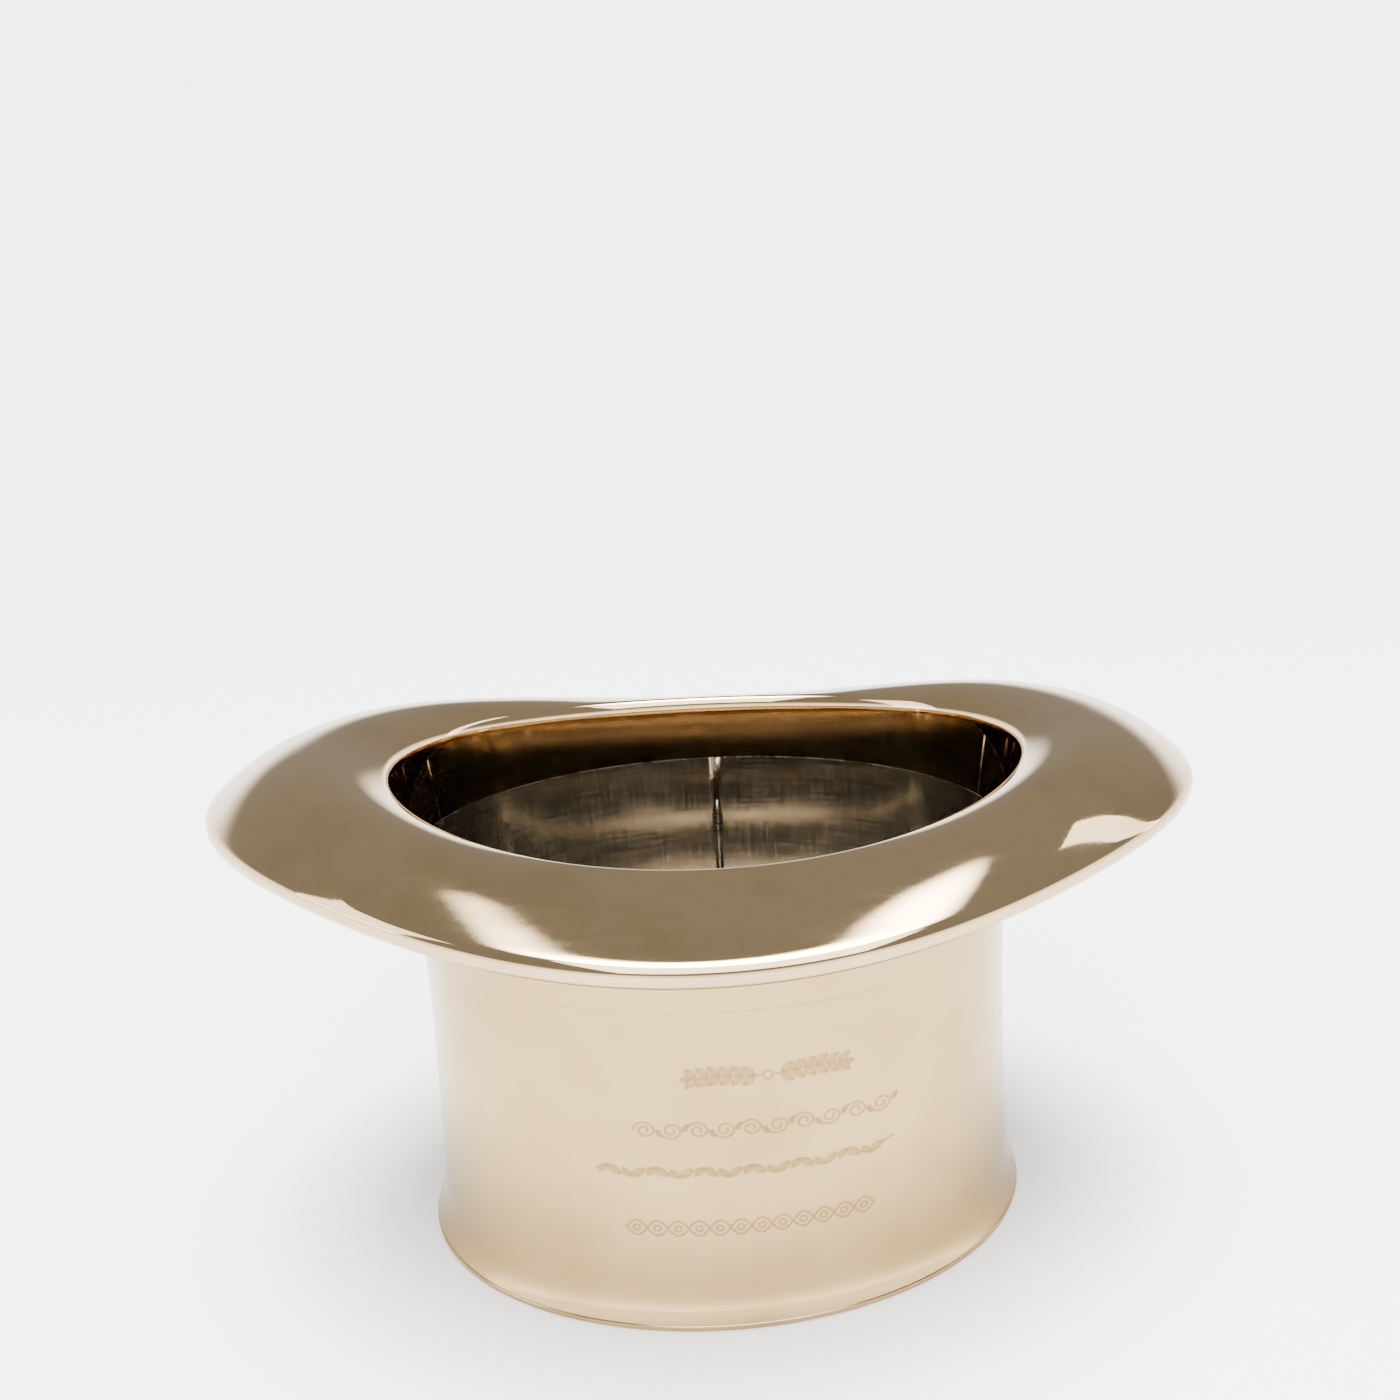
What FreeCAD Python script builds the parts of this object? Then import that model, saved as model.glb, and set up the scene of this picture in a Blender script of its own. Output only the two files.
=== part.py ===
import FreeCAD, Part
import Sketcher
import math
import os

# Silver champagne bucket in the shape of an upturned top hat.
# Origin at the centre of the foot, +Z up, +X along the long axis of the oval, millimetres.

SIZES = (
    ("base_length", 224.4),
    ("base_width", 168.4),
    ("foot_height", 2.4),
    ("foot_reach", 0.35),
    ("foot_breadth", 2.8),
    ("foot_round", 1.0),
    ("plate_thickness", 1.4),
    ("plate_gap", 0.08),
    ("wall_thickness", 1.0),
    ("waist_height", 102.8),
    ("waist_depth", 7.4),
    ("flare_power", 1.5),
    ("foot_flare", 3.4),
    ("foot_run", 8.0),
    ("collar_flare", 0.0009),
    ("joint_height", 147.8),
    ("joint_solder", 0.2),
    ("seam_width", 0.8),
    ("seam_cut_start", 56.0),
    ("seam_cut_depth", 42.0),
    ("band_low", 120.2),
    ("band_high", 155.8),
    ("band_thickness", 0.8),
    ("band_gap", 0.12),
    ("fillet_leg", 2.5),
    ("fillet_gap", 0.05),
    ("sheet_thickness", 1.0),
    ("mouth_length", 220.0),
    ("mouth_width", 163.2),
    ("mouth_end_height", 181.2),
    ("mouth_side_height", 171.8),
    ("mouth_lip", 1.5),
    ("mouth_bend", 5.0),
    ("mouth_corner_lean", 0.12),
    ("brim_length", 332.2),
    ("brim_width", 235.4),
    ("brim_end_height", 168.8),
    ("brim_side_height", 156.6),
    ("brim_quarter_lift", 2.5),
    ("brim_quarter_cut", 0.042),
    ("crown_of_brim", 11.0),
    ("crown_quarter", 1.3),
    ("curl_radius", 4.6),
    ("curl_end_angle", 195.0),
)

doc = FreeCAD.newDocument("champagne_bucket")
sheet = doc.addObject("Spreadsheet::Sheet", "Sizes")
for row, (name, value) in enumerate(SIZES, start=1):
    sheet.set("A%d" % row, name)
    sheet.set("B%d" % row, str(value))
    sheet.setAlias("B%d" % row, name)
doc.recompute()


def size(name):
    return float(sheet.get(name))


# Heights at which the drawn-up wall is gauged, between the foot and the joint under the brim.
WALL_STATIONS = (0.0, 1.5, 3.0, 4.6, 6.6, 9.5, 14.0, 22.0, 34.0, 50.0, 72.0, 98.0, 124.0)
BAND_STATIONS = (0.0, 0.33, 0.67, 1.0)


def waist_expression(level):
    """Depth of the waist below the base oval, as a spreadsheet expression of the height."""
    foot = "Sizes.foot_flare * tanh(((%s) - Sizes.foot_height) / Sizes.foot_run)" % level
    low = ("(Sizes.waist_depth - Sizes.foot_flare)"
           " * (1 - abs(1 - (%s) / Sizes.waist_height) ^ Sizes.flare_power)" % level)
    high = ("Sizes.waist_depth - Sizes.foot_flare"
            " - Sizes.collar_flare * ((%s) - Sizes.waist_height) ^ 2" % level)
    return "(%s + ((%s) < Sizes.waist_height ? %s : %s))" % (foot, level, low, high)


def waist_depth(level):
    """The same depth as a number, for the surfaces that are worked out point by point."""
    foot = size("foot_flare") * math.tanh((level - size("foot_height")) / size("foot_run"))
    main = size("waist_depth") - size("foot_flare")
    if level < size("waist_height"):
        return foot + main * (1 - (1 - level / size("waist_height")) ** size("flare_power"))
    return foot + main - size("collar_flare") * (level - size("waist_height")) ** 2


def oval(name, level, inset):
    """One gauge oval, level with the floor, set in from the base oval by an expression."""
    item = doc.addObject("Part::Ellipse", name)
    item.setExpression("MajorRadius", "Sizes.base_length / 2 - (%s)" % inset)
    item.setExpression("MinorRadius", "Sizes.base_width / 2 - (%s)" % inset)
    item.setExpression("Placement.Base.z", level)
    return item


def loft(name, sections, ruled):
    item = doc.addObject("Part::Loft", name)
    item.Sections = sections
    item.Solid = True
    item.Ruled = ruled
    return item


def waisted_block(name, levels, extra):
    """Solid with the waisted outline of the wall, grown inwards or outwards by an inset."""
    ovals = []
    for number, level in enumerate(levels):
        inset = "%s + (%s)" % (waist_expression(level), extra)
        ovals.append(oval("%s_oval_%d" % (name, number), level, inset))
    return loft(name, ovals, False)


def cut(name, base, tool):
    item = doc.addObject("Part::Cut", name)
    item.Base = base
    item.Tool = tool
    return item


# ---- crown wall: one oval sleeve, closed by a soldered seam down the middle of the back ----
wall_levels = ["Sizes.foot_height + %s" % step for step in WALL_STATIONS]
wall_levels.append("Sizes.joint_height")
wall_outside = waisted_block("wall_outside", wall_levels, "0")
wall_inside = waisted_block("wall_inside", wall_levels, "Sizes.wall_thickness")
wall_sleeve = cut("wall_sleeve", wall_outside, wall_inside)

seam_box = doc.addObject("Part::Box", "seam_box")
seam_box.setExpression("Length", "Sizes.seam_width")
seam_box.setExpression("Width", "Sizes.seam_cut_depth")
seam_box.setExpression("Height", "Sizes.joint_height")
seam_box.setExpression("Placement.Base.x", "-Sizes.seam_width / 2")
seam_box.setExpression("Placement.Base.y", "Sizes.seam_cut_start")

crown_wall = cut("crown_wall", wall_sleeve, seam_box)
crown_wall.Label = "crown_wall"

seam_solder = doc.addObject("Part::Common", "seam_solder")
seam_solder.Base = wall_sleeve
seam_solder.Tool = seam_box
seam_solder.Label = "seam_solder"


# ---- base plate and foot ring: flat pieces cut to ovals and padded ----
def plane_of(body, role):
    for item in body.Origin.OriginFeatures:
        if item.Role == role:
            return item
    raise ValueError("no plane " + role)


def draw_oval(sketch, tag, length, width):
    """Ellipse centred on the sketch origin with both axes driven by the sheet."""
    start = Part.Ellipse(FreeCAD.Vector(0, 0, 0), size("base_length") / 2, size("base_width") / 2)
    index = sketch.addGeometry(start, False)
    sketch.exposeInternalGeometry(index)
    major = index + 1
    minor = index + 2
    sketch.addConstraint(Sketcher.Constraint("Coincident", index, 3, -1, 1))
    sketch.addConstraint(Sketcher.Constraint("Horizontal", major))
    for line, axis, rule in ((major, "length", length), (minor, "width", width)):
        spot = sketch.addConstraint(Sketcher.Constraint("Distance", line, 1, line, 2,
                                                        size("base_" + axis)))
        name = "%s_%s" % (tag, axis)
        sketch.renameConstraint(spot, name)
        sketch.setExpression("Constraints." + name, rule)


def flat_body(label, ovals, thickness, level):
    """Padded plate bounded by one oval, or by an outer and an inner oval."""
    body = doc.addObject("PartDesign::Body", label)
    body.Label = label
    sketch = body.newObject("Sketcher::SketchObject", label + "_outline")
    sketch.AttachmentSupport = [(plane_of(body, "XY_Plane"), "")]
    sketch.MapMode = "FlatFace"
    for tag, length, width in ovals:
        draw_oval(sketch, tag, length, width)
    pad = body.newObject("PartDesign::Pad", label + "_pad")
    pad.Profile = sketch
    pad.setExpression("Length", thickness)
    sketch.Visibility = False
    body.setExpression("Placement.Base.z", level)
    return body, pad


RING_IN = "2 * (Sizes.foot_breadth - Sizes.foot_reach)"
base_plate, plate_pad = flat_body(
    "base_plate",
    (("rim", "Sizes.base_length - %s - 2 * Sizes.plate_gap" % RING_IN,
      "Sizes.base_width - %s - 2 * Sizes.plate_gap" % RING_IN),),
    "Sizes.plate_thickness",
    "Sizes.foot_height - Sizes.plate_thickness")

foot_ring, ring_pad = flat_body(
    "foot_ring",
    (("outer", "Sizes.base_length + 2 * Sizes.foot_reach",
      "Sizes.base_width + 2 * Sizes.foot_reach"),
     ("inner", "Sizes.base_length - %s" % RING_IN,
      "Sizes.base_width - %s" % RING_IN)),
    "Sizes.foot_height",
    "0 mm")
doc.recompute()


FLATNESS = 0.01


def outer_edges(shape, reach):
    """Names of the two long level edges around the outside of the ring."""
    found = []
    for number, edge in enumerate(shape.Edges, start=1):
        box = edge.BoundBox
        if box.XLength > reach and box.ZLength < FLATNESS:
            found.append("Edge%d" % number)
    return found


ring_round = foot_ring.newObject("PartDesign::Fillet", "foot_ring_round")
ring_round.Base = (ring_pad, outer_edges(ring_pad.Shape, size("base_length")))
ring_round.setExpression("Radius", "Sizes.foot_round")
foot_ring.Tip = ring_round

# ---- solder fillet in the inside corner between wall and base plate ----
low_level = "Sizes.foot_height + Sizes.fillet_gap"
top_level = "Sizes.foot_height + Sizes.fillet_gap + Sizes.fillet_leg"
inner_face = "Sizes.wall_thickness + Sizes.fillet_gap"
base_solder_out = loft("base_solder_out", [
    oval("solder_out_low", low_level, "%s + %s" % (waist_expression(low_level), inner_face)),
    oval("solder_out_top", top_level, "%s + %s" % (waist_expression(top_level), inner_face)),
], True)
base_solder_in = loft("base_solder_in", [
    oval("solder_in_low", low_level, "%s + %s + Sizes.fillet_leg"
         % (waist_expression(low_level), inner_face)),
    oval("solder_in_top", top_level, "%s + %s + Sizes.fillet_gap * 2"
         % (waist_expression(top_level), inner_face)),
], True)
base_solder = cut("base_solder", base_solder_out, base_solder_in)
base_solder.Label = "base_solder"

# ---- hat band: raised strip that backs the joint between wall and brim ----
band_rise = "(Sizes.band_high - Sizes.band_low)"
band_levels = ["Sizes.band_low + %s * %s" % (band_rise, share) for share in BAND_STATIONS]
band_outside = waisted_block("band_outside", band_levels,
                             "-Sizes.band_gap - Sizes.band_thickness")
band_inside = waisted_block("band_inside", band_levels, "-Sizes.band_gap")
hat_band = cut("hat_band", band_outside, band_inside)
hat_band.Label = "hat_band"

# ---- solder in the butt joint between the wall and the collar of the brim ----
joint_top = "Sizes.joint_height + Sizes.joint_solder"
joint_outside = waisted_block("joint_outside", ["Sizes.joint_height", joint_top], "0")
joint_inside = waisted_block("joint_inside", ["Sizes.joint_height", joint_top],
                             "Sizes.wall_thickness")
brim_solder = cut("brim_solder", joint_outside, joint_inside)
brim_solder.Label = "brim_solder"


# ---- brim: one raised sheet, from the collar, over the mouth, out to the curled edge ----
AROUND = 144
COLLAR_STEPS = 4
BEND_STEPS = 6
SHEET_STEPS = 14
CURL_STEPS = 16
TURN_STEP = 0.001
UP = FreeCAD.Vector(0, 0, 1)


def side_share(turn):
    """0 at the two ends of the oval and 1 at the middle of the two long sides."""
    return math.sin(turn) ** 2


def quarter_share(turn):
    """1 half way between an end and a side, 0 at both."""
    return (1 - math.cos(4 * turn)) / 2


def blend(at_end, at_side, turn):
    return size(at_end) + (size(at_side) - size(at_end)) * side_share(turn)


def on_oval(half_length, half_width, turn, level, pull=0.0):
    keep = 1 - pull * quarter_share(turn)
    return FreeCAD.Vector(half_length * keep * math.cos(turn),
                          half_width * keep * math.sin(turn), level)


def edge_centre(turn):
    """Centre line of the curl along the edge of the brim."""
    level = blend("brim_end_height", "brim_side_height", turn)
    level += size("brim_quarter_lift") * quarter_share(turn)
    return on_oval(size("brim_length") / 2, size("brim_width") / 2, turn, level,
                   size("brim_quarter_cut"))


def outward(turn):
    """Level direction square to the edge of the brim."""
    along = edge_centre(turn + TURN_STEP) - edge_centre(turn - TURN_STEP)
    across = FreeCAD.Vector(along.y, -along.x, 0)
    across.normalize()
    return across


def curl_point(turn, across, angle):
    """Point on the middle line of the curl, the angle counted up from the level."""
    radius = size("curl_radius") - size("sheet_thickness") / 2
    return (edge_centre(turn) + across * (radius * math.cos(angle))
            + UP * (radius * math.sin(angle)))


def brim_section(turn):
    """Middle line of the sheet in one section, from the foot of the collar to the curl's end."""
    half = size("sheet_thickness") / 2
    mouth_level = blend("mouth_end_height", "mouth_side_height", turn)
    bend_level = mouth_level - size("mouth_bend")
    foot_level = size("joint_height") + size("joint_solder")
    points = []
    for number in range(COLLAR_STEPS):
        level = foot_level + (bend_level - foot_level) * number / COLLAR_STEPS
        inset = waist_depth(level) + half
        points.append(on_oval(size("base_length") / 2 - inset, size("base_width") / 2 - inset,
                              turn, level))
    inset = waist_depth(bend_level) + half
    start = on_oval(size("base_length") / 2 - inset, size("base_width") / 2 - inset,
                    turn, bend_level)
    lip = on_oval(size("mouth_length") / 2 + size("mouth_lip"),
                  size("mouth_width") / 2 + size("mouth_lip"), turn, mouth_level)
    across = outward(turn)
    top = curl_point(turn, across, math.pi / 2)
    crown = size("crown_of_brim") * (1 - side_share(turn))
    crown += size("crown_quarter") * quarter_share(turn)
    fall = (lip.z - top.z + 4 * crown) / math.hypot(top.x - lip.x, top.y - lip.y)
    curl_start = math.pi / 2 - math.atan(fall)
    top = curl_point(turn, across, curl_start)
    reach = math.hypot(top.x - lip.x, top.y - lip.y)
    slope = (top.z - lip.z + 4 * crown) / reach
    run = math.hypot(lip.x - start.x, lip.y - start.y)
    lean = size("mouth_corner_lean")
    corner = start + (lip - start) * lean
    corner.z = lip.z - slope * run * (1 - lean)
    for number in range(BEND_STEPS):
        share = number / BEND_STEPS
        points.append(start * (1 - share) ** 2 + corner * (2 * share * (1 - share))
                      + lip * share ** 2)
    for number in range(SHEET_STEPS):
        share = number / SHEET_STEPS
        points.append(lip * (1 - share) + top * share + UP * (4 * share * (1 - share) * crown))
    curl_sweep = curl_start + math.radians(size("curl_end_angle"))
    for number in range(CURL_STEPS + 1):
        points.append(curl_point(turn, across, curl_start - curl_sweep * number / CURL_STEPS))
    return points


def sheet_sides(sections, thickness):
    """Points on the two faces of the sheet, half its thickness to each side of the middle."""
    count = len(sections)
    length = len(sections[0])
    upper = []
    lower = []
    for number in range(count):
        ahead = sections[(number + 1) % count]
        behind = sections[number - 1]
        row_up = []
        row_down = []
        for place in range(length):
            here = sections[number][place]
            after = sections[number][min(place + 1, length - 1)]
            before = sections[number][max(place - 1, 0)]
            along = after - before
            around = ahead[place] - behind[place]
            normal = around.cross(along)
            normal.normalize()
            row_up.append(here + normal * (thickness / 2))
            row_down.append(here - normal * (thickness / 2))
        upper.append(row_up)
        lower.append(row_down)
    return upper, lower


def ring_face(rows, degree):
    """Smooth face that closes on itself around the oval."""
    count = len(rows)
    length = len(rows[0])
    surface = Part.BSplineSurface()
    around_knots = [float(number) for number in range(count + 1)]
    across_knots = [float(number) for number in range(length - degree + 1)]
    across_mults = [1] * len(across_knots)
    across_mults[0] = degree + 1
    across_mults[-1] = degree + 1
    surface.buildFromPolesMultsKnots(rows, [1] * len(around_knots), across_mults,
                                     around_knots, across_knots, True, False, 3, degree)
    return surface.toShape()


def sheet_solid(sections, thickness):
    upper, lower = sheet_sides(sections, thickness)
    first = [[a[0], b[0]] for a, b in zip(upper, lower)]
    last = [[a[-1], b[-1]] for a, b in zip(upper, lower)]
    faces = [ring_face(upper, 3), ring_face(lower, 3), ring_face(first, 1), ring_face(last, 1)]
    shell = Part.makeShell(faces)
    shell.sewShape()
    solid = Part.makeSolid(shell)
    if solid.Volume < 0:
        solid.reverse()
    return solid


turns = [2 * math.pi * number / AROUND for number in range(AROUND)]
brim = doc.addObject("Part::Feature", "brim")
brim.Label = "brim"
brim.Shape = sheet_solid([brim_section(turn) for turn in turns], size("sheet_thickness"))

doc.recompute()

NODES = (crown_wall, seam_solder, base_plate, foot_ring, base_solder, hat_band, brim_solder, brim)
for item in doc.Objects:
    if "Invalid" in item.State or "Error" in item.State:
        raise RuntimeError("%s is in state %s" % (item.Label, item.State))
os.makedirs("parts", exist_ok=True)
for item in NODES:
    shape = item.Shape
    if shape.isNull() or not shape.isValid():
        raise RuntimeError("%s has no valid shape" % item.Label)
    shape.exportStep("parts/%s.step" % item.Label)
    box = shape.BoundBox
    print("%-14s solids %d volume %9.1f  x %.1f %.1f  y %.1f %.1f  z %.2f %.2f" % (
        item.Label, len(shape.Solids), shape.Volume, box.XMin, box.XMax,
        box.YMin, box.YMax, box.ZMin, box.ZMax))
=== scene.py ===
import math

import bpy
import numpy as np
from mathutils import Matrix, Vector
from mathutils.kdtree import KDTree


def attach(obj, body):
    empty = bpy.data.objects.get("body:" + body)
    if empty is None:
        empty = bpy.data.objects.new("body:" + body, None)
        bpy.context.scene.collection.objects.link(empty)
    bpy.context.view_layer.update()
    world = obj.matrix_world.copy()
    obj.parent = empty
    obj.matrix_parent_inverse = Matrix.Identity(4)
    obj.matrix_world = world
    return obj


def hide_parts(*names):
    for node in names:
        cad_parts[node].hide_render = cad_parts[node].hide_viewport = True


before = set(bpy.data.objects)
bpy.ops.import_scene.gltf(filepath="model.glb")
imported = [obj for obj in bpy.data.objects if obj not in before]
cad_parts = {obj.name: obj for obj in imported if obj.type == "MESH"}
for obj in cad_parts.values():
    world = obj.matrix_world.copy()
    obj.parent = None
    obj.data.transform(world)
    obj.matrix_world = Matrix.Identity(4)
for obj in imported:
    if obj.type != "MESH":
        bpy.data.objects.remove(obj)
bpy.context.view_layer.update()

# Silver champagne bucket shaped as an upturned top hat. Lengths below are in millimetres and
# are scaled to metres when a mesh is made.
MM = 0.001
TAU = 2 * math.pi
ROOT = "root"

# ---- driving sizes, the same as in the CAD ----
BASE_A, BASE_B = 112.2, 84.2
FOOT_HEIGHT = 2.4
FOOT_REACH = 0.35
FOOT_BREADTH = 2.8
FOOT_ROUND = 1.0
FOOT_FLARE, FOOT_RUN = 3.4, 8.0
WAIST_HEIGHT, WAIST_DEPTH, FLARE_POWER = 102.8, 7.4, 1.5
COLLAR_FLARE = 0.0009
WALL = 1.0
JOINT_HEIGHT, JOINT_SOLDER = 147.8, 0.2
SEAM_WIDTH = 0.8
BAND_LOW, BAND_HIGH, BAND_RISE, BAND_GAP = 120.2, 155.8, 0.8, 0.12
MOUTH_A, MOUTH_B = 110.0, 81.6
MOUTH_END, MOUTH_SIDE = 181.2, 171.8
MOUTH_LIP, MOUTH_BEND = 1.5, 5.0
BRIM_A, BRIM_B = 166.1, 117.7
BRIM_END, BRIM_SIDE = 168.8, 156.6
QUARTER_LIFT, QUARTER_CUT = 2.5, 0.042
CROWN, CROWN_QUARTER = 11.0, 1.3
CURL_RADIUS, CURL_END = 4.6, 195.0
MOUTH_CORNER_LEAN = 0.12

# ---- how finely the brim is drawn, from its collar to its curl; counts as in the CAD ----
AROUND = 144
COLLAR_STEPS, BEND_STEPS, SHEET_STEPS, CURL_STEPS = 4, 6, 14, 16
TURN_STEP = 0.001
INSIDE_POINTS = COLLAR_STEPS + BEND_STEPS
INSIDE_FADE = 5

# ---- seen surface only: unevenness and rounded corners ----
WAVE_HEIGHT = 0.22
BAND_STEPS = 14
BAND_EDGE, BAND_BACK_EDGE = 0.35, 0.1


# ---------------------------------------------------------------- shapes
def waist(level):
    """How far the wall stands in from the base oval at a height."""
    foot = FOOT_FLARE * math.tanh((level - FOOT_HEIGHT) / FOOT_RUN)
    main = WAIST_DEPTH - FOOT_FLARE
    if level < WAIST_HEIGHT:
        return foot + main * (1 - (1 - level / WAIST_HEIGHT) ** FLARE_POWER)
    return foot + main - COLLAR_FLARE * (level - WAIST_HEIGHT) ** 2


def on_oval(a, b, turn, level, pull=0.0):
    keep = 1 - pull * (1 - math.cos(4 * turn)) / 2
    return Vector((a * keep * math.cos(turn), b * keep * math.sin(turn), level))


def edge_centre(turn):
    side = math.sin(turn) ** 2
    level = BRIM_END + (BRIM_SIDE - BRIM_END) * side
    level += QUARTER_LIFT * (1 - math.cos(4 * turn)) / 2
    return on_oval(BRIM_A, BRIM_B, turn, level, QUARTER_CUT)


def hand_wave(turn, share):
    """Shallow unevenness left by the raising hammer: always to the inside of the sheet."""
    total = 0.0
    for around, across, shift, weight in (
            (5, 2.1, 0.4, 0.30), (9, 3.7, 1.9, 0.26), (14, 5.2, 4.1, 0.22), (3, 7.5, 2.6, 0.22)):
        total += weight * math.sin(around * turn + across * share * 2 + shift)
    return -0.5 * (1 + total)


def curl_point(turn, across, angle):
    """Point on the middle line of the curl, the angle counted up from the level."""
    radius = CURL_RADIUS - WALL / 2
    return (edge_centre(turn) + across * (radius * math.cos(angle))
            + Vector((0, 0, radius * math.sin(angle))))


def brim_section(turn):
    """Middle line of the brim sheet in one section, from the collar's foot to the curl's end."""
    half = WALL / 2
    side = math.sin(turn) ** 2
    quarter = (1 - math.cos(4 * turn)) / 2
    mouth = MOUTH_END + (MOUTH_SIDE - MOUTH_END) * side
    bend = mouth - MOUTH_BEND
    foot = JOINT_HEIGHT + JOINT_SOLDER
    points = []
    for n in range(COLLAR_STEPS):
        level = foot + (bend - foot) * n / COLLAR_STEPS
        inset = waist(level) + half
        points.append(on_oval(BASE_A - inset, BASE_B - inset, turn, level))
    inset = waist(bend) + half
    start = on_oval(BASE_A - inset, BASE_B - inset, turn, bend)
    lip = on_oval(MOUTH_A + MOUTH_LIP, MOUTH_B + MOUTH_LIP, turn, mouth)
    crown = CROWN * (1 - side) + CROWN_QUARTER * quarter
    along = edge_centre(turn + TURN_STEP) - edge_centre(turn - TURN_STEP)
    across = Vector((along.y, -along.x, 0)).normalized()
    top = curl_point(turn, across, math.pi / 2)
    fall = (lip.z - top.z + 4 * crown) / math.hypot(top.x - lip.x, top.y - lip.y)
    curl_start = math.pi / 2 - math.atan(fall)
    top = curl_point(turn, across, curl_start)
    reach = math.hypot(top.x - lip.x, top.y - lip.y)
    slope = (top.z - lip.z + 4 * crown) / reach
    run = math.hypot(lip.x - start.x, lip.y - start.y)
    corner = start + (lip - start) * MOUTH_CORNER_LEAN
    corner.z = lip.z - slope * run * (1 - MOUTH_CORNER_LEAN)
    for n in range(BEND_STEPS):
        u = n / BEND_STEPS
        points.append(start * (1 - u) ** 2 + corner * (2 * u * (1 - u)) + lip * u ** 2)
    for n in range(SHEET_STEPS):
        u = n / SHEET_STEPS
        point = lip * (1 - u) + top * u + Vector((0, 0, 4 * u * (1 - u) * crown))
        point.z += WAVE_HEIGHT * hand_wave(turn, u) * math.sin(math.pi * u)
        points.append(point)
    sweep = curl_start + math.radians(CURL_END)
    for n in range(CURL_STEPS + 1):
        points.append(curl_point(turn, across, curl_start - sweep * n / CURL_STEPS))
    return points


def make_object(name, verts, faces, material):
    mesh = bpy.data.meshes.new(name)
    mesh.from_pydata([tuple(c * MM for c in v) for v in verts], [], faces)
    mesh.validate()
    mesh.polygons.foreach_set("use_smooth", [True] * len(mesh.polygons))
    mesh.update()
    obj = bpy.data.objects.new(name, mesh)
    bpy.context.scene.collection.objects.link(obj)
    mesh.materials.append(material)
    return obj


def ring_faces(loops, count):
    """Quads between neighbouring closed profile loops of the same number of points."""
    faces = []
    for i in range(loops):
        j = (i + 1) % loops
        for k in range(count):
            m = (k + 1) % count
            faces.append((i * count + k, j * count + k, j * count + m, i * count + m))
    return faces


def spline_points(net, closed, halve):
    """Points on the uniform cubic spline of a net along its first axis, and half way between."""
    if closed:
        before, after, later = (np.roll(net, shift, 0) for shift in (1, -1, -2))
    else:
        ends = np.concatenate([2 * net[:1] - net[1:2], net, 2 * net[-1:] - net[-2:-1]])
        before, after = ends[:-2], ends[2:]
        later = np.concatenate([ends[3:], ends[-1:]])
    on_knots = (before + 4 * net + after) / 6
    if not halve:
        return on_knots
    between = (before + 23 * net + 23 * after + later) / 48
    mixed = np.stack([on_knots, between], 1).reshape((-1,) + net.shape[1:])
    return mixed if closed else mixed[:-1]


def build_brim(material):
    """Raised sheet: both faces of the middle line, joined by its two cut edges."""
    sections = [brim_section(TAU * n / AROUND) for n in range(AROUND)]
    length = len(sections[0])
    sides = []
    for way in (1, -1):
        net = []
        for n in range(AROUND):
            ahead, behind, here = sections[(n + 1) % AROUND], sections[n - 1], sections[n]
            row = []
            for k in range(length):
                along = here[min(k + 1, length - 1)] - here[max(k - 1, 0)]
                normal = (ahead[k] - behind[k]).cross(along).normalized()
                row.append(here[k] + normal * (way * WALL / 2))
            net.append(row)
        net = spline_points(np.array(net), True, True)
        net = spline_points(net.swapaxes(0, 1), False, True).swapaxes(0, 1)
        sides.append(net)
    loop = np.concatenate([sides[0], sides[1][:, ::-1]], 1)
    rows, count = loop.shape[:2]
    obj = make_object("brim_skin", loop.reshape(-1, 3).tolist(), ring_faces(rows, count),
                      material)
    mark_sharp(obj, lambda a, b: a % count == b % count
               and a % count in (0, count // 2 - 1, count // 2, count - 1))
    ends = INSIDE_POINTS * count / 2 / length
    mark(obj, "inside", [min(1.0, max(0.0, (ends - n % count) / INSIDE_FADE))
                         for n in range(rows * count)])
    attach(obj, ROOT)
    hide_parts("brim")


def mark_sharp(obj, wanted):
    """Keeps the cut edges of a sheet crisp under smooth shading."""
    for edge in obj.data.edges:
        if wanted(edge.vertices[0], edge.vertices[1]):
            edge.use_edge_sharp = True


def mark(obj, name, values):
    """Share at each point of the inside finish, or of the painted shade that darkens a chased
    groove.
    """
    obj.data.attributes.new(name, "FLOAT", "POINT").data.foreach_set("value", values)


def oval_ring(name, profile, material, node, around=240):
    """Ring whose closed profile is a list of (inset from the base oval, height) points."""
    verts = []
    for n in range(around):
        turn = TAU * n / around
        for inset, level in profile:
            verts.append(on_oval(BASE_A - inset, BASE_B - inset, turn, level))
    obj = make_object(name, verts, ring_faces(around, len(profile)), material)
    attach(obj, ROOT)
    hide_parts(node)


# ---------------------------------------------------------------- materials
def nodes_of(name):
    mat = bpy.data.materials.new(name)
    mat.use_nodes = True
    tree = mat.node_tree
    tree.nodes.clear()
    return mat, tree


def link(tree, a, out, b, into):
    tree.links.new(a.outputs[out], b.inputs[into])


def noise_node(tree, coords, scale, detail=3.0, rough=0.5, stretch=None):
    node = tree.nodes.new("ShaderNodeTexNoise")
    node.inputs["Scale"].default_value = scale
    node.inputs["Detail"].default_value = detail
    node.inputs["Roughness"].default_value = rough
    if stretch is not None:
        mapping = tree.nodes.new("ShaderNodeMapping")
        mapping.inputs["Scale"].default_value = stretch
        link(tree, coords, "Object", mapping, "Vector")
        link(tree, mapping, "Vector", node, "Vector")
    else:
        link(tree, coords, "Object", node, "Vector")
    return node


def remap(tree, node, out, low, high, to_low, to_high):
    ranged = tree.nodes.new("ShaderNodeMapRange")
    ranged.inputs["From Min"].default_value = low
    ranged.inputs["From Max"].default_value = high
    ranged.inputs["To Min"].default_value = to_low
    ranged.inputs["To Max"].default_value = to_high
    link(tree, node, out, ranged, "Value")
    return ranged
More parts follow.
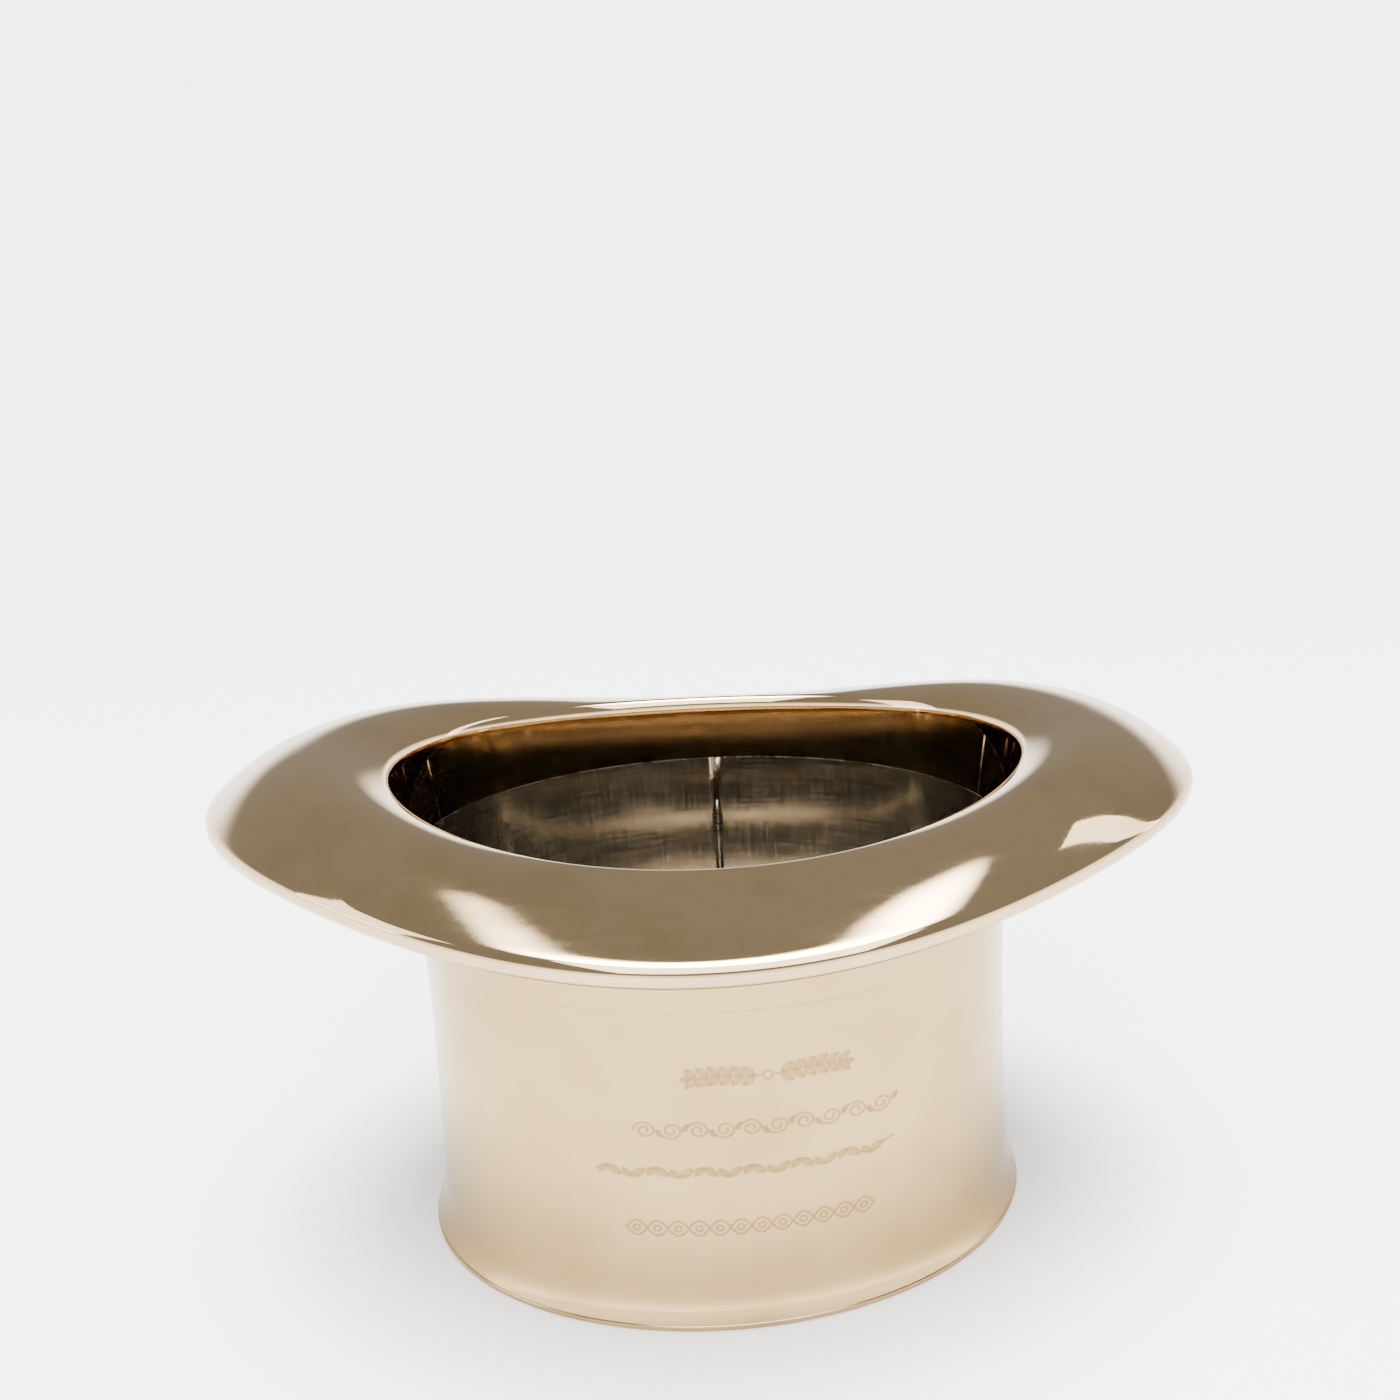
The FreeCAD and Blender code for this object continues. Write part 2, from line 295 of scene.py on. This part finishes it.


# bare silver inside, and the share of the tone kept in a groove: painted shade that darkens the
# chased grooves
INSIDE_TONE = (0.60, 0.56, 0.49)
GROOVE_SHADE_TINT = (0.50, 0.46, 0.40)


def silver(name, tone, dull, rough_low, rough_high, scratch, haze_scale, bump):
    """Plated silver: tone varied by faint tarnish, polish haze, wiping scratches, soft dents."""
    mat, tree = nodes_of(name)
    coords = tree.nodes.new("ShaderNodeTexCoord")
    shader = tree.nodes.new("ShaderNodeBsdfPrincipled")
    shader.inputs["Metallic"].default_value = 1.0
    out = tree.nodes.new("ShaderNodeOutputMaterial")
    link(tree, shader, "BSDF", out, "Surface")

    stain = noise_node(tree, coords, 22.0, 5.0, 0.6)
    stain_mask = remap(tree, stain, "Fac", 0.45, 0.75, 0.0, 1.0)
    tint = tree.nodes.new("ShaderNodeMix")
    tint.data_type = "RGBA"
    tint.inputs["A"].default_value = (*tone, 1)
    tint.inputs["B"].default_value = (*dull, 1)
    link(tree, stain_mask, "Result", tint, "Factor")
    colour = tint.outputs["Result"]
    # inside: bare silver tone; groove: painted shade multiplied into the tone
    for attribute, shade, blend in (("inside", INSIDE_TONE, "MIX"),
                                    ("groove_shade", GROOVE_SHADE_TINT, "MULTIPLY")):
        place = tree.nodes.new("ShaderNodeAttribute")
        place.attribute_name = attribute
        toned = tree.nodes.new("ShaderNodeMix")
        toned.data_type = "RGBA"
        toned.blend_type = blend
        toned.inputs["B"].default_value = (*shade, 1)
        link(tree, place, "Fac", toned, "Factor")
        tree.links.new(colour, toned.inputs["A"])
        colour = toned.outputs["Result"]
    tree.links.new(colour, shader.inputs["Base Color"])

    haze = noise_node(tree, coords, haze_scale, 6.0, 0.65)
    wiped = noise_node(tree, coords, 900.0, 2.0, 0.5, (0.06, 0.06, 1.0))
    crossed = noise_node(tree, coords, 1400.0, 2.0, 0.5, (1.0, 1.0, 0.05))
    haze_range = remap(tree, haze, "Fac", 0.35, 0.7, rough_low, rough_high)
    fine = tree.nodes.new("ShaderNodeMath")
    fine.operation = "MULTIPLY"
    link(tree, wiped, "Fac", fine, 0)
    link(tree, crossed, "Fac", fine, 1)
    fine_range = remap(tree, fine, "Value", 0.15, 0.4, -scratch, scratch)
    added = tree.nodes.new("ShaderNodeMath")
    added.operation = "ADD"
    added.use_clamp = True
    link(tree, haze_range, "Result", added, 0)
    link(tree, fine_range, "Result", added, 1)
    link(tree, added, "Value", shader, "Roughness")

    dents = noise_node(tree, coords, 26.0, 1.0, 0.4)
    soft = tree.nodes.new("ShaderNodeBump")
    soft.inputs["Strength"].default_value = 1.0
    soft.inputs["Distance"].default_value = bump
    link(tree, dents, "Fac", soft, "Height")
    hair = tree.nodes.new("ShaderNodeBump")
    hair.inputs["Strength"].default_value = 0.12
    hair.inputs["Distance"].default_value = 0.00003
    link(tree, fine, "Value", hair, "Height")
    link(tree, soft, "Normal", hair, "Normal")
    link(tree, hair, "Normal", shader, "Normal")
    return mat


BRIM_SILVER = silver("silver_brim", (0.50, 0.36, 0.20), (0.42, 0.30, 0.16),
                     0.04, 0.09, 0.02, 9.0, 0.00012)
# The wall and band are the same plate as the brim; their deeper, warmer tone is painted shade
# that darkens the body.
WALL_SILVER = silver("silver_wall", (0.39, 0.272, 0.125), (0.325, 0.222, 0.095),
                     0.08, 0.15, 0.04, 14.0, 0.00010)
# The foot is the same plate too; its deeper tone is painted shade, as on the wall.
FOOT_SILVER = silver("silver_foot", (0.38, 0.268, 0.13), (0.285, 0.198, 0.09),
                     0.10, 0.18, 0.04, 20.0, 0.00004)
SOLDER = silver("silver_solder", (0.52, 0.43, 0.31), (0.38, 0.31, 0.22),
                0.22, 0.36, 0.05, 60.0, 0.00020)
SEAM = silver("silver_seam", (0.34, 0.30, 0.24), (0.27, 0.24, 0.19),
              0.24, 0.38, 0.05, 60.0, 0.00010)
PLATE_SILVER = silver("silver_plate", (0.60, 0.56, 0.49), (0.48, 0.43, 0.35),
                      0.14, 0.26, 0.05, 12.0, 0.00012)


# ---------------------------------------------------------------- chased ornament
def stroke(path, steps):
    """Evenly spaced points along a path."""
    return [path(n / steps) for n in range(steps + 1)]


def leaf(x, z, angle, length, width):
    """Outline and vein of one pointed leaf growing from a point of its stem."""
    c, s = math.cos(angle), math.sin(angle)
    spots = []
    for side in (width, -width, 0):
        spots += stroke(lambda t: (x + length * t * c - side * math.sin(math.pi * t) * s,
                                   z + length * t * s + side * math.sin(math.pi * t) * c), 24)
    return spots


def spray(x, z, reach):
    """Two laurel branches that part from a small ring."""
    spots = stroke(lambda t: (x + 1.6 * math.cos(TAU * t), z + 1.6 * math.sin(TAU * t)), 60)
    for side in (-1, 1):
        def stem(t):
            return x + side * (2.6 + (reach - 5.5) * t), z + 0.9 * math.sin(math.pi * t)
        spots += stroke(stem, 140)
        for n in range(6):
            root = stem(n / 6 + 0.08)
            for up in (-1, 1):
                lean = up * math.radians(42)
                spots += leaf(*root, lean if side > 0 else math.pi - lean, 5.0, 1.1)
        spots += leaf(*stem(1.0), 0 if side > 0 else math.pi, 3.2, 0.8)
    return spots


def scrolls(start, end, z, pitch):
    """Running scroll: spirals that curl by turns above and below the line."""
    spots = []
    count = int((end - start) / pitch)
    for n in range(count):
        x = start + (n + 0.5) * pitch
        way = 1 if n % 2 == 0 else -1

        def curl(t):
            angle = math.pi * (1 - 3.2 * t)
            radius = pitch * (0.44 - 0.34 * t)
            return x + radius * math.cos(angle), z + way * radius * 0.86 * math.sin(angle)
        spots += stroke(curl, 150)
        spots += leaf(x + pitch * 0.42, z, -way * 0.9, 3.0, 0.6)
    return spots


def vine(start, end, z, wavelength):
    """Waving stem with a leaf in every bend."""
    def stem(t):
        x = start + (end - start) * t
        return x, z + 1.9 * math.sin(TAU * (x - start) / wavelength)
    spots = stroke(stem, 620)
    bends = int(2 * (end - start) / wavelength)
    for n in range(bends):
        root = stem((n + 0.5) * wavelength / 2 / (end - start))
        up = 1 if n % 2 else -1
        spots += leaf(*root, up * 0.65, 5.4, 1.15)
        spots += leaf(*root, math.pi - up * 0.8, 4.0, 0.85)
    return spots


def twist(start, end, z, wavelength):
    """Two strands that cross, with a bead in every eye."""
    spots = []
    for way in (-1, 1):
        spots += stroke(lambda t: (start + (end - start) * t, z + way * 2.9 * math.sin(
            TAU * (end - start) * t / wavelength)), 560)
    for n in range(int(2 * (end - start) / wavelength)):
        x = start + (n + 0.5) * wavelength / 2
        spots += stroke(lambda t: (x + 1.1 * math.cos(TAU * t), z + 1.1 * math.sin(TAU * t)), 30)
    return spots


# four rows of chased ornament on the front, each given by its middle height and half height
ROWS = ((95.4, 5.0), (76.2, 4.4), (60.1, 5.0), (38.3, 4.2))
CHASED_LOW, CHASED_HIGH = -46.0, 61.0
CHASE_DEPTH, CHASE_WIDTH = 0.085, 0.40


def chasing():
    spots = spray(15.5, ROWS[0][0], 28.0)
    spots += scrolls(-30.0, 57.5, ROWS[1][0], 8.75)
    spots += vine(-43.0, 57.0, ROWS[2][0], 16.0)
    spots += twist(-34.0, 50.0, ROWS[3][0], 14.0)
    tree = KDTree(len(spots))
    for n, (x, z) in enumerate(spots):
        tree.insert((x, z, 0), n)
    tree.balance()
    return tree


def wall_levels():
    fine = 0.38
    levels = [FOOT_HEIGHT + step for step in
              (0, 0.6, 1.2, 1.9, 2.7, 3.6, 4.6, 5.8, 7.2, 9.0, 11.5, 14.5, 18.5, 23.5, 29.0)]
    for middle, half in ROWS[::-1]:
        levels += list(np.arange(middle - half, middle + half, fine))
    levels += [51.0, 68.0, 86.0, 104.0, 112.0, 120.0, 128.0, 136.0, 142.0, JOINT_HEIGHT]
    return sorted(levels)


def wall_turns(gap):
    """Directions of the upright rows, close together across the ornament."""
    first, last = math.pi / 2 + gap, math.pi / 2 + TAU - gap
    left = TAU - math.acos(CHASED_LOW / (BASE_A - WAIST_DEPTH))
    right = TAU - math.acos(CHASED_HIGH / (BASE_A - WAIST_DEPTH))
    fine = 320
    return np.concatenate([np.linspace(first, left, 110, endpoint=False),
                           np.linspace(left, right, fine, endpoint=False),
                           np.linspace(right, last, 110)])


def build_wall(material):
    """Oval sleeve with its slit at the back, where the seam solder sits."""
    grooves = chasing()
    outer = wall_levels()
    inner = [level for n, level in enumerate(outer) if n % 3 == 0 or n < 12]
    if inner[-1] != outer[-1]:
        inner.append(outer[-1])
    turns = wall_turns(math.asin(SEAM_WIDTH / 2 / (BASE_A - WAIST_DEPTH / 2)))
    verts, inside, shade_in_groove = [], [], []
    for turn in turns:
        for level in outer:
            inset = waist(level)
            spot = on_oval(BASE_A - inset, BASE_B - inset, turn, level)
            cut = 0.0
            if spot.y < 0 and CHASED_LOW < spot.x < CHASED_HIGH:
                away = grooves.find((spot.x, spot.z, 0))[2] / CHASE_WIDTH
                cut = math.exp(-min(away, 3.0) ** 2)
                spot -= Vector((math.cos(turn) / BASE_A, math.sin(turn) / BASE_B,
                                0)).normalized() * (CHASE_DEPTH * cut)
            verts.append(spot)
            inside.append(0.0)
            # painted shade in the groove, as strong as the cut is deep
            shade_in_groove.append(cut)
        for level in inner[::-1]:
            inset = waist(level) + WALL
            verts.append(on_oval(BASE_A - inset, BASE_B - inset, turn, level))
            inside.append(1.0)
            shade_in_groove.append(0.0)
    faces = []
    count = len(outer) + len(inner)
    for i in range(len(turns) - 1):
        for k in range(count):
            m = (k + 1) % count
            faces.append((i * count + k, (i + 1) * count + k, (i + 1) * count + m, i * count + m))
    last = (len(turns) - 1) * count
    faces.append(tuple(range(count)))
    faces.append(tuple(last + k for k in range(count))[::-1])
    obj = make_object("crown_wall_skin", verts, faces, material)
    mark(obj, "inside", inside)
    mark(obj, "groove_shade", shade_in_groove)
    edge_rows = (0, len(outer) - 1, len(outer), count - 1)
    mark_sharp(obj, lambda a, b: a % count == b % count and a % count in edge_rows)
    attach(obj, ROOT)
    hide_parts("crown_wall")


def rounded(points, corner_radii, steps=5):
    """Closed profile with its corners rounded off by quadratic arcs."""
    made = []
    total = len(points)
    for n in range(total):
        here = Vector(points[n])
        radius = corner_radii[n]
        if radius == 0:
            made.append(tuple(here))
            continue
        before = (Vector(points[n - 1]) - here).normalized() * radius + here
        after = (Vector(points[(n + 1) % total]) - here).normalized() * radius + here
        for k in range(steps + 1):
            u = k / steps
            spot = before * (1 - u) ** 2 + here * (2 * u * (1 - u)) + after * u ** 2
            made.append(tuple(spot))
    return made


# ---------------------------------------------------------------- pieces
build_brim(BRIM_SILVER)
build_wall(WALL_SILVER)

foot_profile = rounded([(-FOOT_REACH, 0.0), (-FOOT_REACH, FOOT_HEIGHT),
                        (FOOT_BREADTH - FOOT_REACH, FOOT_HEIGHT),
                        (FOOT_BREADTH - FOOT_REACH, 0.0)],
                       [FOOT_ROUND, FOOT_ROUND * 0.9, 0.1, 0.4])
oval_ring("foot_ring_skin", foot_profile, FOOT_SILVER, "foot_ring")

band_outer = []
for n in range(BAND_STEPS + 1):
    level = BAND_LOW + (BAND_HIGH - BAND_LOW) * n / BAND_STEPS
    band_outer.append((waist(level) - BAND_GAP - BAND_RISE, level))
band_inner = [(inset + BAND_RISE, level) for inset, level in band_outer[::-1]]
flat = [0] * (BAND_STEPS - 1)
band_radii = [BAND_EDGE, *flat, BAND_EDGE, BAND_BACK_EDGE, *flat, BAND_BACK_EDGE]
oval_ring("hat_band_skin", rounded(band_outer + band_inner, band_radii, 3), WALL_SILVER,
          "hat_band")

for node, material in (("base_plate", PLATE_SILVER), ("base_solder", SOLDER),
                       ("brim_solder", SOLDER), ("seam_solder", SEAM)):
    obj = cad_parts[node]
    obj.data.materials.clear()
    obj.data.materials.append(material)

# ---------------------------------------------------------------- stage
FLOOR_WHITE = 0.92
FLOOR = 40.0
# steps of brightness with height, added up: from, to, brightness below, brightness above
STUDIO = ((0.09, 0.32, 4.85, 0.55), (0.935, 0.985, 0.0, 58.0))
# view: azimuth, elevation and roll in degrees, then metres, then the lens in millimetres
VIEW = (-4.29, 20.84, -0.88)
VIEW_TARGET, VIEW_DISTANCE = (0.04935, 0.0, 0.17509), 0.52652
SENSOR, LENS = 36.0, 38.228657
SHIFT_X, SHIFT_Y = -0.107143, 0.0409


def make_floor():
    """Plain pale floor."""
    mat, tree = nodes_of("floor_pale")
    pale = tree.nodes.new("ShaderNodeBsdfDiffuse")
    pale.inputs["Color"].default_value = (FLOOR_WHITE, FLOOR_WHITE, FLOOR_WHITE, 1)
    out = tree.nodes.new("ShaderNodeOutputMaterial")
    link(tree, pale, "BSDF", out, "Surface")
    mesh = bpy.data.meshes.new("floor")
    mesh.from_pydata([(-FLOOR, -FLOOR, 0), (FLOOR, -FLOOR, 0), (FLOOR, FLOOR, 0),
                      (-FLOOR, FLOOR, 0)], [], [(0, 1, 2, 3)])
    mesh.materials.append(mat)
    floor = bpy.data.objects.new("floor", mesh)
    bpy.context.scene.collection.objects.link(floor)


def make_world():
    """Plain neutral studio: pale low down, dim above that, and one broad soft light overhead."""
    world = bpy.data.worlds.new("studio")
    bpy.context.scene.world = world
    world.use_nodes = True
    tree = world.node_tree
    tree.nodes.clear()
    coords = tree.nodes.new("ShaderNodeTexCoord")
    parts = tree.nodes.new("ShaderNodeSeparateXYZ")
    link(tree, coords, "Generated", parts, "Vector")
    previous = None
    for low, high, start, end in STUDIO:
        step = tree.nodes.new("ShaderNodeMapRange")
        step.interpolation_type = "SMOOTHSTEP"
        for name, value in (("From Min", low), ("From Max", high), ("To Min", start),
                            ("To Max", end)):
            step.inputs[name].default_value = value
        link(tree, parts, "Z", step, "Value")
        if previous is None:
            previous = step.outputs["Result"]
            continue
        total = tree.nodes.new("ShaderNodeMath")
        total.operation = "ADD"
        tree.links.new(previous, total.inputs[0])
        link(tree, step, "Result", total, 1)
        previous = total.outputs["Value"]
    shine = tree.nodes.new("ShaderNodeBackground")
    shine.inputs["Color"].default_value = (1, 1, 1, 1)
    tree.links.new(previous, shine.inputs["Strength"])
    out = tree.nodes.new("ShaderNodeOutputWorld")
    link(tree, shine, "Background", out, "Surface")


def soft_light(name, place, aim, width, height, power):
    """Plain white panel of light."""
    data = bpy.data.lights.new(name, "AREA")
    data.shape = "RECTANGLE"
    data.size, data.size_y = width, height
    data.energy = power
    light = bpy.data.objects.new(name, data)
    light.location = place
    light.rotation_euler = (Vector(aim) - Vector(place)).to_track_quat("-Z", "Y").to_euler()
    bpy.context.scene.collection.objects.link(light)


make_floor()
make_world()
soft_light("front_box", (0.1, -1.2, 1.6), (0.0, 0.0, 0.1), 1.6, 1.6, 70.0)
soft_light("left_box", (-1.5, -0.5, 0.9), (0, 0, 0.15), 0.7, 1.2, 14.0)
soft_light("right_strip", (1.5, 0.2, 1.0), (0, 0, 0.15), 0.25, 1.4, 7.0)


def make_camera():
    """Camera close in front, a little above the rim."""
    azimuth, elevation, roll = (math.radians(angle) for angle in VIEW)
    back = Vector((math.sin(azimuth) * math.cos(elevation),
                   -math.cos(azimuth) * math.cos(elevation), math.sin(elevation)))
    data = bpy.data.cameras.new("camera")
    data.sensor_width, data.lens = SENSOR, LENS
    data.shift_x, data.shift_y = SHIFT_X, SHIFT_Y
    data.clip_start, data.clip_end = 0.01, 100.0
    camera = bpy.data.objects.new("camera", data)
    bpy.context.scene.collection.objects.link(camera)
    turned = (-back).to_track_quat("-Z", "Y").to_matrix().to_4x4()
    camera.matrix_world = (Matrix.Translation(Vector(VIEW_TARGET) + back * VIEW_DISTANCE) @ turned
                           @ Matrix.Rotation(roll, 4, "Z"))
    bpy.context.scene.camera = camera


make_camera()
